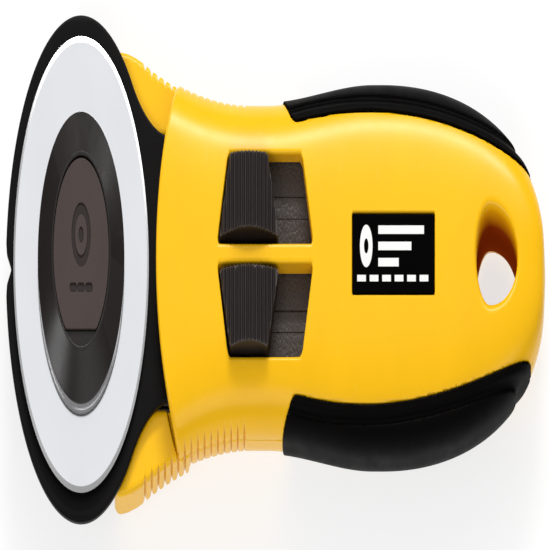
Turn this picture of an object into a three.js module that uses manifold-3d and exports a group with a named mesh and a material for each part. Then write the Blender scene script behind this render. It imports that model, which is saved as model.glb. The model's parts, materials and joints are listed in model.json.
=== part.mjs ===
// Rotary cutter with a 45 mm blade: handle, sliding blade guard, quick release hub.
// Millimetres, +Z up. It lies on its back: the blade and the buttons face up.
// Inside this file X runs from the blade's axis to the tail; the group at the end
// moves everything so that X = 0 is the middle of the whole length.
import * as THREE from "three";
import { mergeVertices } from "three/addons/utils/BufferGeometryUtils.js";
import Module from "manifold-3d";

const wasm = await Module();
wasm.setup();

// ---- driving dimensions ----
const BLADE_R = 22.5;
const BLADE_BORE_R = 4;
const BLADE_THICK = 0.3;
const GUARD_R = 25;
const TAIL_X = 154.4;
const TRAVEL = 11; // both sliders

// heights of the layers above the rest plane
const MID_Z = 8.6;
const HALF_TOP = 8.4;
const HALF_BOTTOM = 9.1; // the rest plane cuts the lower half flat
const WALL = 2;
const SEAM_GAP = 0.1;
const COVER_Z = [3.6, 7.5];
const COVER_FLOOR_Z = 5.3;
const BAR_Z = [5.8, 7.2];
const ARM_Z = [7.6, 10.1];
const GUARD_Z = [10.6, 11.9];
const BED_Z = [12.1, 12.9];
const BLADE_Z = 12.9;
const BUTTON_Z = 13;
const WING_Z = [3.3, 10.3];

// handle outline
const WAIST_X = 57;
const WAIST_HALF = 16.25;
const FLARE = 2;
const FLARE_LENGTH = 24;
const RISE_X = 62;
const BELLY_X = 97;
const BELLY_HALF = 18;
const TAIL_START_X = 100;
const SECTION_POWER = 3.2;

// nose of the top shell
const NOSE_X = 24.9;
const NOSE_R = 25.6;
const SHOULDER_X = 45;

// sliders
const LANE_Y = 5.6; // middle of each window, on both sides of the centre line
const WINDOW = { inner: 1, outer: 10, innerX: [45.2, 77.2], outerX: [48.9, 73.4], corner: 0.9 };
const BUTTON = { inner: 1.6, outer: 9.6, innerX: [46, 65.8], outerX: [49.5, 62] };
const CREST_Z = 18.75; // button top between the ridges
const CREST_FALL = 1.8; // from the middle of a button to its ends
const RIDGE = { count: 16, height: 0.45 };
const POST_X = [52.8, 58.8];
const POST_HALF = 1;
const SLOT_COVER_X = [50.6, 78.4]; // strips that keep the bed's slots closed
const STRIP_TOP_Z = 12.8; // they fill the slots up to just below the bed's face
const COVER_HALF = 1.9;
const GUARD_TAIL = { tail: 38, half: 13, fillet: 20 };

// screws
const ARM_SCREWS = [[42, 8], [42, -8]];
const SHELL_SCREWS = [[84, 0], [121, 0]];

const LABEL = { x: [90.2, 117.5], half: 3.9, z: [15.9, 16.7] };
const HANG = { x: 136, blunt: 4.55, tail: 9, half: 4.7 };
const GRIP = { front: 66, end: 150, peak: 14.4, peakX: 95, bend: 0.0018, proud: 0.3, deep: 1.2 };
const GROOVES = { first: 21.3, pitch: 2.2, count: 16, depth: 0.75, width: 1 };

// ---- materials ----
const finish = (color, roughness, metalness = 0) =>
  new THREE.MeshStandardMaterial({ color, roughness, metalness });
const yellow = finish(0xf6c41c, 0.38);
const black = finish(0x1b1b1c, 0.45);
const buttonPlastic = finish(0x2c2625, 0.5);
const rubber = finish(0x161616, 0.75);
const steel = finish(0xb9bcc0, 0.3, 1);
const bladeSteel = finish(0xd9dbdd, 0.22, 1);
const springSteel = finish(0x8d9094, 0.35, 1);
const nylon = finish(0xe6e4dc, 0.5);

// ---- solids: closed meshes joined and cut ----
function solid(geometry) {
  const bare = geometry.clone();
  bare.deleteAttribute("normal");
  bare.deleteAttribute("uv");
  const merged = mergeVertices(bare, 1e-4);
  const mesh = new wasm.Mesh({
    numProp: 3,
    vertProperties: new Float32Array(merged.attributes.position.array),
    triVerts: new Uint32Array(merged.index.array),
  });
  return new wasm.Manifold(mesh);
}

function geometryOf(manifold) {
  const mesh = manifold.getMesh();
  const geometry = new THREE.BufferGeometry();
  geometry.setAttribute("position", new THREE.BufferAttribute(mesh.vertProperties, 3));
  geometry.setIndex(new THREE.BufferAttribute(mesh.triVerts, 1));
  geometry.computeVertexNormals();
  return geometry;
}

const outlined = (points) => new THREE.Shape(points.map(([x, y]) => new THREE.Vector2(x, y)));

// a flat outline in plan, raised from z[0] to z[1]
function slab(shape, z, curveSegments = 6) {
  const options = { depth: z[1] - z[0], bevelEnabled: false, curveSegments };
  return solid(new THREE.ExtrudeGeometry(shape, options).translate(0, 0, z[0]));
}

function box(x, y, z) {
  const geometry = new THREE.BoxGeometry(x[1] - x[0], y[1] - y[0], z[1] - z[0]);
  geometry.translate((x[0] + x[1]) / 2, (y[0] + y[1]) / 2, (z[0] + z[1]) / 2);
  return solid(geometry);
}

// a profile of [radius, height] points turned about the vertical axis at (x, y)
function turned(profile, x = 0, y = 0, segments = 32) {
  const points = profile.map(([r, z]) => new THREE.Vector2(r, z));
  const geometry = new THREE.LatheGeometry(points, segments);
  return solid(geometry.rotateX(Math.PI / 2).translate(x, y, 0));
}

function disc(r, z, x = 0, y = 0, segments = 32) {
  return turned([[0, z[0]], [r, z[0]], [r, z[1]], [0, z[1]]], x, y, segments);
}

function ring(inner, outer, z, segments = 32) {
  return turned(
    [[inner, z[0]], [outer, z[0]], [outer, z[1]], [inner, z[1]], [inner, z[0]]], 0, 0, segments);
}

// a polygon with its corners rounded to a radius
function rounded(corners, radius) {
  const shape = new THREE.Shape();
  corners.forEach((corner, i) => {
    const here = new THREE.Vector2(...corner);
    const before = new THREE.Vector2(...corners[(i + corners.length - 1) % corners.length]);
    const after = new THREE.Vector2(...corners[(i + 1) % corners.length]);
    const start = here.clone().add(before.sub(here).setLength(radius));
    const end = here.clone().add(after.sub(here).setLength(radius));
    if (i === 0) shape.moveTo(start.x, start.y);
    else shape.lineTo(start.x, start.y);
    shape.quadraticCurveTo(here.x, here.y, end.x, end.y);
  });
  shape.closePath();
  return shape;
}

const mirrored = (points) => [...points, ...[...points].reverse().map(([x, y]) => [x, -y])];

// points along a circle's arc, `count` steps between two angles in radians
const arc = (x, y, r, from, to, count) => Array.from({ length: count + 1 }, (_, k) => {
  const angle = from + (to - from) * (k / count);
  return [x + r * Math.cos(angle), y + r * Math.sin(angle)];
});

// ---- the handle's form ----
const smooth = (t) => t * t * (3 - 2 * t);

const tailFall = (x) => Math.min(Math.max((x - TAIL_START_X) / (TAIL_X - TAIL_START_X), 0), 1);

function halfWidth(x) {
  if (x < WAIST_X) return WAIST_HALF + FLARE * ((WAIST_X - x) / FLARE_LENGTH) ** 2;
  if (x < RISE_X) return WAIST_HALF;
  if (x < BELLY_X) {
    return WAIST_HALF + (BELLY_HALF - WAIST_HALF) * smooth((x - RISE_X) / (BELLY_X - RISE_X));
  }
  return BELLY_HALF * (1 - tailFall(x) ** 2.1) ** (1 / 2.5);
}

const noseFall = (x) => Math.max((SHOULDER_X - x) / (SHOULDER_X - NOSE_X), 0) ** 2;
const tailHeight = (x) => (1 - tailFall(x) ** 3.8) ** (1 / 3.8);
const topHeight = (x) => (HALF_TOP - noseFall(x)) * tailHeight(x);
const bottomHeight = (x) => (HALF_BOTTOM - 3 * noseFall(x)) * tailHeight(x);

// rings of points along X, closed at both ends
function loft(rings) {
  const count = rings[0].length;
  const positions = rings.flat(2);
  const index = [];
  for (let k = 0; k + 1 < rings.length; k += 1) {
    for (let i = 0; i < count; i += 1) {
      const a = k * count + i;
      const b = k * count + ((i + 1) % count);
      index.push(a, b, b + count, a, b + count, a + count);
    }
  }
  for (let i = 1; i + 1 < count; i += 1) {
    const last = (rings.length - 1) * count;
    index.push(0, i + 1, i, last, last + i, last + i + 1);
  }
  const geometry = new THREE.BufferGeometry();
  geometry.setAttribute("position", new THREE.Float32BufferAttribute(positions, 3));
  geometry.setIndex(index);
  return solid(geometry);
}

// the handle's rounded body, grown by `grow` on every side
function handleForm(grow, stations, sides) {
  const power = 2 / SECTION_POWER;
  const rings = stations.map((x) => {
    const points = [];
    for (let i = 0; i < sides; i += 1) {
      const angle = ((i + 0.5) / sides) * 2 * Math.PI;
      const c = Math.cos(angle);
      const s = Math.sin(angle);
      const half = Math.max(halfWidth(x) + grow, 0.4);
      const height = Math.max((s > 0 ? topHeight(x) : bottomHeight(x)) + grow, 0.4);
      const y = half * Math.sign(c) * Math.abs(c) ** power;
      const z = MID_Z + height * Math.sign(s) * Math.abs(s) ** power;
      points.push([x, y, z]);
    }
    return points;
  });
  return loft(rings);
}

const STATIONS = [22, 28, 34, 40, 48, 57, 66, 75, 85, 95, 105, 114, 122, 130, 136.5, 142, 147, 150.5,
  153, 154.1, TAIL_X];
const INNER_STATIONS = [21, 29, 38, 48, 60, 73, 86, 99, 112, 126];

// everything behind the nose's arc, seen from above; `out` moves the arc forward
function behindNose(out, z) {
  const centre = NOSE_X + NOSE_R;
  const r = NOSE_R + out;
  const shape = new THREE.Shape();
  shape.moveTo(centre, -r);
  shape.absarc(centre, 0, r, 1.5 * Math.PI, 0.5 * Math.PI, true);
  shape.lineTo(200, r);
  shape.lineTo(200, -r);
  return slab(shape, z, 24);
}

// the side inlays' zone: outside a bowed line on each side, `shrink` smaller all round
const gripLine = (x) => GRIP.peak - GRIP.bend * (x - GRIP.peakX) ** 2;
function gripZone(side, shrink, z) {
  const far = 30;
  const points = [];
  const steps = 12;
  const front = GRIP.front + 4;
  for (let i = 0; i <= steps; i += 1) {
    const x = front + (GRIP.end - front) * (i / steps);
    points.push([x, gripLine(x) + shrink]);
  }
  points.push([GRIP.end, far], [GRIP.front + shrink - 3, far]);
  points.push([GRIP.front + shrink, 16.5], [GRIP.front + 1 + shrink, 15], [front - 0.5, 13.8 + shrink]);
  const outline = side > 0 ? points : points.map(([x, y]) => [x, -y]).reverse();
  return slab(outlined(outline), z);
}

// vertical finger grooves in both side walls
function grooves(z) {
  const cutters = [];
  for (let k = 0; k < GROOVES.count; k += 1) {
    const x = GROOVES.first + k * GROOVES.pitch;
    for (const side of [1, -1]) {
      const y = halfWidth(x);
      const points = [
        [x - GROOVES.width / 2, y + 0.8],
        [x - 0.2, y - GROOVES.depth],
        [x + 0.2, y - GROOVES.depth],
        [x + GROOVES.width / 2, y + 0.8],
      ];
      cutters.push(slab(outlined(points.map(([px, py]) => [px, side * py])), z));
    }
  }
  return wasm.Manifold.union(cutters);
}

// egg-shaped hang hole, pointed towards the tail
function hangHole(z) {
  const k = 0.55;
  const { x, blunt, tail, half } = HANG;
  const shape = new THREE.Shape();
  shape.moveTo(x - blunt, 0);
  shape.bezierCurveTo(x - blunt, half * k, x - blunt * k, half, x, half);
  shape.bezierCurveTo(x + tail * k, half, x + tail, half * 0.45, x + tail, 0);
  shape.bezierCurveTo(x + tail, -half * 0.45, x + tail * k, -half, x, -half);
  shape.bezierCurveTo(x - blunt * k, -half, x - blunt, -half * k, x - blunt, 0);
  return slab(shape, z, 6);
}

// a four-sided outline on one side, wide next to the centre line
function trapezoid({ inner, outer, innerX, outerX }, side, radius) {
  const corners = [[innerX[0], inner], [innerX[1], inner], [outerX[1], outer], [outerX[0], outer]];
  const outline = side > 0 ? corners : corners.map(([x, y]) => [x, -y]).reverse();
  return rounded(outline, radius);
}

// the room that the guard sweeps inside the nose
function guardRoom() {
  const { tail, half } = GUARD_TAIL;
  const clear = 0.5;
  const back = tail + TRAVEL + clear;
  const side = [[20, 20], [27.5, 19.9], [31, 16.9], [35, 15], [40, 14.1], [back, half + clear]];
  return slab(outlined(mirrored(side)), [GUARD_Z[0] - 0.3, GUARD_Z[1] + 0.3]);
}

// ---- handle shells ----
const outer = handleForm(0, STATIONS, 24);
const inside = handleForm(-WALL, INNER_STATIONS, 16);
const sideInlays = [1, -1].map((side) => gripZone(side, 0, [-5, 25]));
const gripBed = handleForm(-GRIP.deep, STATIONS.filter((x) => x > 60), 24);
const inlayCut = wasm.Manifold.union(sideInlays).subtract(gripBed);
const formed = outer.subtract(inlayCut).subtract(grooves([3.2, 13.7])).subtract(hangHole([-5, 25]));

function topShell() {
  const reach = [MID_Z + SEAM_GAP / 2, 25];
  const frame = box([43.9, 78.5], [-11.3, 11.3], [BED_Z[1] + 0.05, HALF_TOP + MID_Z - 1]);
  const bosses = SHELL_SCREWS.map(([x, y]) => disc(3, [9.6, 15.6], x, y, 20));
  const pilots = SHELL_SCREWS.map(([x, y]) => disc(1.35, [9, 14], x, y, 12));
  const windows = [1, -1].map((side) => slab(trapezoid(WINDOW, side, WINDOW.corner), [12, 20], 3));
  const recess = box([LABEL.x[0] - 0.2, LABEL.x[1] + 0.2], [-LABEL.half - 0.2, LABEL.half + 0.2],
    [LABEL.z[0] - 0.05, 20]);
  return formed
    .subtract(inside)
    .add(frame.intersect(outer))
    .add(wasm.Manifold.union(bosses).intersect(outer))
    .intersect(behindNose(0, reach))
    .subtract(wasm.Manifold.union(pilots))
    .subtract(wasm.Manifold.union(windows))
    .subtract(recess)
    .subtract(guardRoom());
}

// plan of one forward wing: outer flare, rounded tip, inner edge round the guard
function wing(side) {
  const points = [36, 31, 26, 21].map((x) => [x, halfWidth(x)]);
  points.push([17.5, 21.75], [15, 22.05], [12.5, 21.85], [10.9, 21.2], [10.2, 20.2], [10.8, 19.4]);
  points.push([13.5, 18.3], [16.5, 16.4], [19.5, 14.7], [23, 13.7], [27, 13.35], [36, 13.35]);
  return slab(outlined(points.map(([x, y]) => [x, side * y])), WING_Z);
}

function bottomShell() {
  const reach = [0, MID_Z - SEAM_GAP / 2];
  const seats = [...ARM_SCREWS, ...SHELL_SCREWS];
  const height = (x) => (x < 60 ? ARM_Z[0] - 0.05 : 9.5);
  const bosses = seats.map(([x, y]) => disc(3.2, [1, height(x)], x, y, 20));
  const holes = seats.map(([x, y]) => disc(1.6, [-1, 12], x, y, 12));
  const sinks = seats.map(([x, y]) => disc(3, [-1, 2.4], x, y, 20));
  const ribs = [
    box([63, 67], [LANE_Y - 1.6, LANE_Y + 1.6], [1, 9.35]),
    box([63, 67], [-LANE_Y - 1.6, -LANE_Y + 1.6], [1, 4.55]),
  ];
  const wings = [1, -1].map(wing);
  return formed
    .subtract(inside)
    .intersect(box([33, 200], [-40, 40], reach))
    .add(wasm.Manifold.union(wings)
      .subtract(grooves([0, 12]))
      .subtract(behindNose(0.3, [reach[1], 30])))
    .add(wasm.Manifold.union([...bosses, ...ribs]))
    .subtract(wasm.Manifold.union([...holes, ...sinks]));
}

function grip(side) {
  const z = [-5, 25];
  const clear = SEAM_GAP;
  return handleForm(GRIP.proud, STATIONS.filter((x) => x > 60), 24)
    .subtract(handleForm(-GRIP.deep + clear, STATIONS.filter((x) => x > 60), 24))
    .intersect(gripZone(side, clear, z))
    .intersect(box([50, 170], [-30, 30], [0.4, 20]));
}

// ---- arm, its cover and the axle ----
function armOutline(r, half, back) {
  const shape = new THREE.Shape();
  shape.moveTo(back, -half);
  shape.lineTo(back, half);
  shape.lineTo(8, half);
  shape.absarc(0, 0, r, Math.asin(half / r) + 0.25, 2 * Math.PI - Math.asin(half / r) - 0.25, false);
  shape.lineTo(8, -half);
  return shape;
}

function bladeArm() {
  const pilots = ARM_SCREWS.map(([x, y]) => disc(1.35, [5, 12], x, y, 12));
  return slab(armOutline(13.5, 12.4, 50), ARM_Z, 20)
    .subtract(disc(4.7, [5, 12], 0, 0, 32))
    .subtract(wasm.Manifold.union(pilots));
}

function armCover() {
  return slab(armOutline(13.5, 12.4, 32.6), COVER_Z, 20)
    .subtract(slab(armOutline(11.8, 10.7, 40), [COVER_FLOOR_Z, 12], 16));
}

function axleBush() {
  return turned([
    [3.1, 7.15], [6, 7.15], [6, 7.55], [4.65, 7.55], [4.65, 12.15],
    [7.5, 12.15], [7.5, 12.55], [3.1, 12.55], [3.1, 7.15],
  ]);
}

function screw(x, y, top) {
  const head = [[0, 0.9], [1.9, 0.9], [2.6, 1.3], [2.6, 2.3], [1.25, 2.3]];
  const cross = [[[-1.6, 1.6], [-0.25, 0.25]], [[-0.25, 0.25], [-1.6, 1.6]]];
  const slots = cross.map(([sx, sy]) =>
    box([x + sx[0], x + sx[1]], [y + sy[0], y + sy[1]], [0.4, 1.5]));
  return turned([...head, [1.25, top - 0.8], [0.5, top], [0, top]], x, y, 16)
    .subtract(wasm.Manifold.union(slots));
}

// a leaf spring strip with a raised bump, its foot on a rib
function detentSpring(y, foot, crest) {
  const thick = 0.35;
  const run = [[67, 0], [63.5, 0], [61, 0.2], [58.6, 0.62], [57.2, 1], [55.8, 0.62], [54.6, 0.35]];
  const rise = crest - foot - thick;
  const low = run.map(([x, h]) => [x, foot + h * rise]);
  const high = [...run].reverse().map(([x, h]) => [x, foot + thick + h * rise]);
  const shape = outlined([...low, ...high]);
  const strip = new THREE.ExtrudeGeometry(shape, { depth: 2.6, bevelEnabled: false });
  return solid(strip.rotateX(Math.PI / 2).translate(0, y + 1.3, 0));
}

// spring wire bent round the stud's groove, its legs closing towards the back
function lockClip() {
  const route = [[19, 2.4], [17, 1.6], [12, 1.85], [4, 2.5], [0, 2.6], [-3.5, 2.6], [-5.6, 1.6]];
  const points = [...route, [-6.3, 0], ...[...route].reverse().map(([x, y]) => [x, -y])];
  const path = new THREE.CatmullRomCurve3(points.map(([x, y]) => new THREE.Vector3(x, y, 6.55)));
  const section = new THREE.Shape();
  section.absarc(0, 0, 0.35, 0, 2 * Math.PI);
  return solid(new THREE.ExtrudeGeometry(section, { extrudePath: path, steps: 32, curveSegments: 3 }));
}

// ---- guard ----
// a disc with a small notch in front, a waisted tail and a strip back under its button
function guardPlate() {
  const { tail, half, fillet } = GUARD_TAIL;
  const join = Math.asin((half + fillet) / (GUARD_R + fillet));
  const centreX = (GUARD_R + fillet) * Math.cos(join);
  const waist = arc(centreX, half + fillet, fillet, 1.5 * Math.PI, join + Math.PI, 10);
  const lead = Math.asin(2.6 / GUARD_R);
  const rim = arc(0, 0, GUARD_R, join, Math.PI - lead, 44).slice(1);
  const notch = [[-24.72, 1.93], [-24.3, 1.1], [-23.78, 0.69], [-23.4, 0.38], [-23.18, 0.14]];
  const slotHalf = 5;
  const slot = [
    ...arc(0, 0, slotHalf, -Math.PI / 2, Math.PI / 2, 20),
    ...arc(-TRAVEL, 0, slotHalf, Math.PI / 2, 1.5 * Math.PI, 20),
  ];
  const strip = [[tail - 2, LANE_Y - COVER_HALF], [SLOT_COVER_X[1], LANE_Y - COVER_HALF],
    [SLOT_COVER_X[1], LANE_Y + COVER_HALF], [tail - 2, LANE_Y + COVER_HALF]];
  return slab(outlined(mirrored([[tail, half], ...waist, ...rim, ...notch])), GUARD_Z)
    .subtract(slab(outlined(slot), [5, 15]))
    .add(slab(rounded(strip, 0.8), GUARD_Z, 3));
}

function guardPost() {
  const y = (half) => [LANE_Y - half, LANE_Y + half];
  return box([POST_X[0] - 1, POST_X[1] + 1], y(1.8), [GUARD_Z[1], GUARD_Z[1] + 0.1])
    .add(box([POST_X[0], SLOT_COVER_X[1]], y(POST_HALF), [GUARD_Z[1], STRIP_TOP_Z]))
    .add(box(POST_X, y(POST_HALF), [GUARD_Z[1], 14.6]));
}

// a ridged, arched slide button with a pocket for its post
function button(side) {
  const [start, end] = BUTTON.innerX;
  const pitch = (end - start) / RIDGE.count;
  const middle = (start + end) / 2;
  const arch = (x) => CREST_Z - CREST_FALL * ((x - middle) / (end - middle)) ** 2;
  const profile = [[start - 1, BUTTON_Z]];
  for (let k = 0; k < RIDGE.count; k += 1) {
    const x = start + k * pitch;
    profile.push([x + pitch * 0.02, arch(x)], [x + pitch * 0.5, arch(x + pitch / 2) + RIDGE.height]);
  }
  profile.push([BUTTON.innerX[1], arch(BUTTON.innerX[1])], [BUTTON.innerX[1] + 1, BUTTON_Z]);
  const bar = new THREE.ExtrudeGeometry(outlined(profile), { depth: 10, bevelEnabled: false });
  bar.rotateX(Math.PI / 2).translate(0, LANE_Y * side + 5, 0);
  const y = side > 0 ? [LANE_Y - 1.3, LANE_Y + 1.3] : [-LANE_Y - 1.3, -LANE_Y + 1.3];
  return solid(bar)
    .intersect(slab(trapezoid(BUTTON, side, 0.7), [BUTTON_Z, 20], 3))
    .subtract(box([POST_X[0] - 0.3, POST_X[1] + 0.3], y, [12, 14.9]));
}

// the bed under both buttons, with a slot for each that runs out at its back edge
function sliderBed() {
  const slots = [1, -1].map((side) => {
    const y = [side * LANE_Y - POST_HALF - 0.3, side * LANE_Y + POST_HALF + 0.3];
    return box([POST_X[0] - 0.5, 90], y, [11, 14]);
  });
  return box([43.6, 79], [-11.6, 11.6], BED_Z).subtract(wasm.Manifold.union(slots));
}

// ---- quick release ----
function releaseBar() {
  const y = [-LANE_Y - POST_HALF, -LANE_Y + POST_HALF];
  const wedge = [[7.4, 0.9], [7.4, -0.9], [9, -1.25], [10.6, -0.75], [10.6, 0.75], [9, 1.25]];
  const cover = [-LANE_Y - COVER_HALF, -LANE_Y + COVER_HALF];
  return slab(outlined(wedge), BAR_Z)
    .add(box([10, 26], [-0.75, 0.75], BAR_Z))
    .add(box([25, 59.6], [-2.4, 2.4], BAR_Z))
    .add(box([52, 59.6], [-LANE_Y - 1.8, 0], BAR_Z))
    .add(box(SLOT_COVER_X, cover, [GUARD_Z[0] + 0.4, GUARD_Z[1]]))
    .add(box([POST_X[0], SLOT_COVER_X[1]], y, [GUARD_Z[1], STRIP_TOP_Z]))
    .add(box(POST_X, y, [BAR_Z[0], 14.6]));
}

// ---- blade and hub ----
function blade() {
  const top = BLADE_Z + BLADE_THICK;
  const middle = BLADE_Z + BLADE_THICK / 2;
  const bevel = 0.6;
  return turned([
    [BLADE_BORE_R, BLADE_Z], [BLADE_R - bevel, BLADE_Z], [BLADE_R, middle - 0.02],
    [BLADE_R, middle + 0.02], [BLADE_R - bevel, top], [BLADE_BORE_R, top], [BLADE_BORE_R, BLADE_Z],
  ], 0, 0, 72);
}

function hubStud() {
  return turned([
    [0, 5.5], [2.6, 5.5], [3, 5.9], [3, 6.15], [2.1, 6.15], [2.1, 6.95], [3, 6.95], [3, 12.65],
    [3.9, 12.65], [3.9, 14.2], [6, 14.2], [6, 15], [3, 15], [3, 16.4], [0, 16.4],
  ]);
}

function hubCap() {
  return turned([
    [3.1, 15.1], [14.4, 15.1], [14.4, 15.5], [10.1, 17.55], [9.8, 17.7],
    [9.4, 17.7], [9.4, 17.1], [0, 17.1], [0, 16.5], [3.1, 16.5], [3.1, 15.1],
  ]);
}

function hubBadge() {
  const r = 9.2;
  const flat = -7.7;
  return disc(r, [17.15, 17.6], 0, 0, 48).subtract(box([-10, 10], [-12, flat], [17, 18]));
}

// three waves round a thin spring ring
function waveWasher() {
  const [low, thick, amplitude] = [13.6, 0.25, 0.18];
  const steps = 24;
  const positions = [];
  const index = [];
  for (let i = 0; i < steps; i += 1) {
    const angle = (i / steps) * 2 * Math.PI;
    const z = low + amplitude * Math.cos(3 * angle);
    for (const [r, up] of [[4.4, 0], [8.4, 0], [8.4, thick], [4.4, thick]]) {
      positions.push(r * Math.cos(angle), r * Math.sin(angle), z + up);
    }
    for (let side = 0; side < 4; side += 1) {
      const a = i * 4 + side;
      const b = i * 4 + ((side + 1) % 4);
      const [c, d] = [(b + 4) % (steps * 4), (a + 4) % (steps * 4)];
      index.push(a, d, c, a, c, b);
    }
  }
  const geometry = new THREE.BufferGeometry();
  geometry.setAttribute("position", new THREE.Float32BufferAttribute(positions, 3));
  geometry.setIndex(index);
  return geometry;
}

// ---- the assembly ----
const cutter = new THREE.Group();
cutter.position.x = -(TAIL_X - GUARD_R) / 2;

function add(name, piece, material) {
  const mesh = new THREE.Mesh(piece.isBufferGeometry ? piece : geometryOf(piece), material);
  mesh.name = name;
  cutter.add(mesh);
}

add("top_shell", topShell(), yellow);
add("bottom_shell", bottomShell(), yellow);
add("grip_left", grip(1), rubber);
add("grip_right", grip(-1), rubber);
add("label_plate", box(LABEL.x, [-LABEL.half, LABEL.half], LABEL.z), black);
add("slider_bed", sliderBed(), black);
add("blade_arm", bladeArm(), black);
add("arm_cover", armCover(), black);
add("axle_bush", axleBush(), steel);
add("spacer_washer", ring(4, 7.5, [12.6, 12.85], 32), nylon);
add("arm_screw_left", screw(...ARM_SCREWS[0], 9.6), steel);
add("arm_screw_right", screw(...ARM_SCREWS[1], 9.6), steel);
add("shell_screw_front", screw(...SHELL_SCREWS[0], 13.6), steel);
add("shell_screw_rear", screw(...SHELL_SCREWS[1], 13.6), steel);
add("guard_detent_spring", detentSpring(LANE_Y, 9.4, GUARD_Z[0] - 0.1), springSteel);
add("release_detent_spring", detentSpring(-LANE_Y, 4.6, BAR_Z[0] - 0.1), springSteel);
add("lock_clip", lockClip(), springSteel);
add("guard_plate", guardPlate(), black);
add("guard_post", guardPost(), black);
add("guard_button", button(1), buttonPlastic);
add("release_bar", releaseBar(), steel);
add("release_button", button(-1), buttonPlastic);
add("blade", blade(), bladeSteel);
add("hub_stud", hubStud(), steel);
add("wave_washer", waveWasher(), springSteel);
add("hub_ring", ring(9, 14.3, [13.25, 15.05], 64), steel);
add("hub_cap", hubCap(), black);
add("hub_badge", hubBadge(), black);

export default cutter;
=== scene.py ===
import json
import math

import bpy
import numpy as np
from mathutils import Matrix, Vector
from mathutils.geometry import tessellate_polygon


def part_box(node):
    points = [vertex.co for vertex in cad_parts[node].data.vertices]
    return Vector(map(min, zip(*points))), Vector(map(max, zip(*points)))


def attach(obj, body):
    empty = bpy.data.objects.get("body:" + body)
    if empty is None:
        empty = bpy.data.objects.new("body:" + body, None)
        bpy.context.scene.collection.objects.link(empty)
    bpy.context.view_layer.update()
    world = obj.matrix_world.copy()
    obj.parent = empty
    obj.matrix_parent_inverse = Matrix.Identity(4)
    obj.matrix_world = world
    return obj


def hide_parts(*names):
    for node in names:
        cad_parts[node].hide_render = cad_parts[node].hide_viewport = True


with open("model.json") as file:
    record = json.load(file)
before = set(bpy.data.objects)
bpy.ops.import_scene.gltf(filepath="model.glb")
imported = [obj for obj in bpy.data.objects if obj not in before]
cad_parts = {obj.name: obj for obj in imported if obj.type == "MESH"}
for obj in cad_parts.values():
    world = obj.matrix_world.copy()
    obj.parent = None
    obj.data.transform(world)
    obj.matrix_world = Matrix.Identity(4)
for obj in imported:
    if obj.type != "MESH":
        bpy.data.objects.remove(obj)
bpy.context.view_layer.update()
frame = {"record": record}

# Everything below is worked out in millimetres, with X counted from the blade's axis, and
# to_frame() turns points into the frame's metres. What the frame states is read from it;
# the other sizes repeat the CAD's.
MM = 0.001
BODY_OF = {node: body for body, nodes in frame["record"]["behaviour"]["bodies"].items() for node in nodes}
AXLE_X = (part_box("blade")[0].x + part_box("blade")[1].x) / 2


def span(node, axis):
    """A CAD node's lowest and highest value along X, Y or Z (0, 1, 2)."""
    shift = AXLE_X if axis == 0 else 0.0
    return tuple((corner[axis] - shift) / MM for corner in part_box(node))


X, Y, Z = 0, 1, 2
GUARD_R = span("guard_plate", Y)[1]
BLADE_R = span("blade", Y)[1]
NOSE_X, TAIL_X = span("top_shell", X)
CROWN_Z = span("top_shell", Z)[1]
SEAM_Z = (span("top_shell", Z)[0] + span("bottom_shell", Z)[1]) / 2
GUARD_Z = span("guard_plate", Z)
BED_Z = span("slider_bed", Z)
BLADE_Z = span("blade", Z)
CAP_Z = span("hub_cap", Z)
LABEL_X, LABEL_Y, LABEL_Z = (span("label_plate", axis) for axis in (X, Y, Z))
ARM_Z = span("blade_arm", Z)
COVER_Z = span("arm_cover", Z)

# the handle's form
MID_Z = 8.6
HALF_TOP = CROWN_Z - MID_Z
HALF_BOTTOM = 9.1
NOSE_DROP, CHIN_RISE = 1.0, 3.0
SECTION_POWER = 3.2
PLAN_TAIL_POWERS, SIDE_TAIL_POWERS = (2.1, 2.5), (3.8, 3.8)
WAIST_X, WAIST_HALF = 57.0, 16.25
FLARE, FLARE_LENGTH = 2.0, 24.0
RISE_X, BELLY_X, BELLY_HALF = 62.0, 97.0, 18.0
TAIL_START_X = 100.0
SHOULDER_X = 45.0
NOSE_R = 25.6
WALL = 2.0
CAVITY_END_X = 126.0
SEAM_GAP = 0.1
WINDOW_Y, WINDOW_INNER_X, WINDOW_OUTER_X = (1.0, 10.0), (45.2, 77.2), (48.9, 73.4)
WING_TOP, WING_BOTTOM = 10.3, 3.3
WING_HUG_R = 22.3

# the two slides
LANE_Y = 5.6
TRAVEL = 11.0
BUTTON_X = 55.9
RIDGE_START, RIDGE_PITCH = 46.0, 19.8 / 16
POST_X, POST_HALF, POST_TOP = (52.8, 58.8), 1.0, 14.6
STRIP_END_X = span("guard_post", X)[1]
STRIP_HALF, SLOT_HALF = 1.1, 1.12

# the arm, the hub and the screws
ARM_R, ARM_HALF = 13.2, 12.4
NECK_HALF = 13.0
BEVEL = 0.6
ARM_SCREW_X, ARM_SCREW_Y = 42.0, 8.0
SHELL_SCREW_X = (84.0, 121.0)

# an inner edge past the centre line makes a trapezoid's two halves one
ACROSS_MIDDLE = -5.0


# ---- meshes
def to_frame(points):
    """Points in this script's millimetres as points in the frame's metres."""
    return np.asarray(points, float) * MM + np.array([AXLE_X, 0.0, 0.0])


def piece(name, points, faces, material, node, normals=None, replaces=True):
    """A visible piece with a CAD node's body and material slot, which stands for it if it replaces it."""
    mesh = bpy.data.meshes.new(name)
    mesh.from_pydata(to_frame(points).tolist(), [], [list(map(int, f)) for f in faces])
    mesh.validate()
    mesh.shade_smooth()
    if normals is not None:
        mesh.normals_split_custom_set_from_vertices(normals.tolist())
    shape = bpy.data.objects.new(name, mesh)
    bpy.context.scene.collection.objects.link(shape)
    mesh.materials.append(material)
    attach(shape, BODY_OF[node])
    if replaces:
        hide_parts(node)
    return shape


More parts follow.
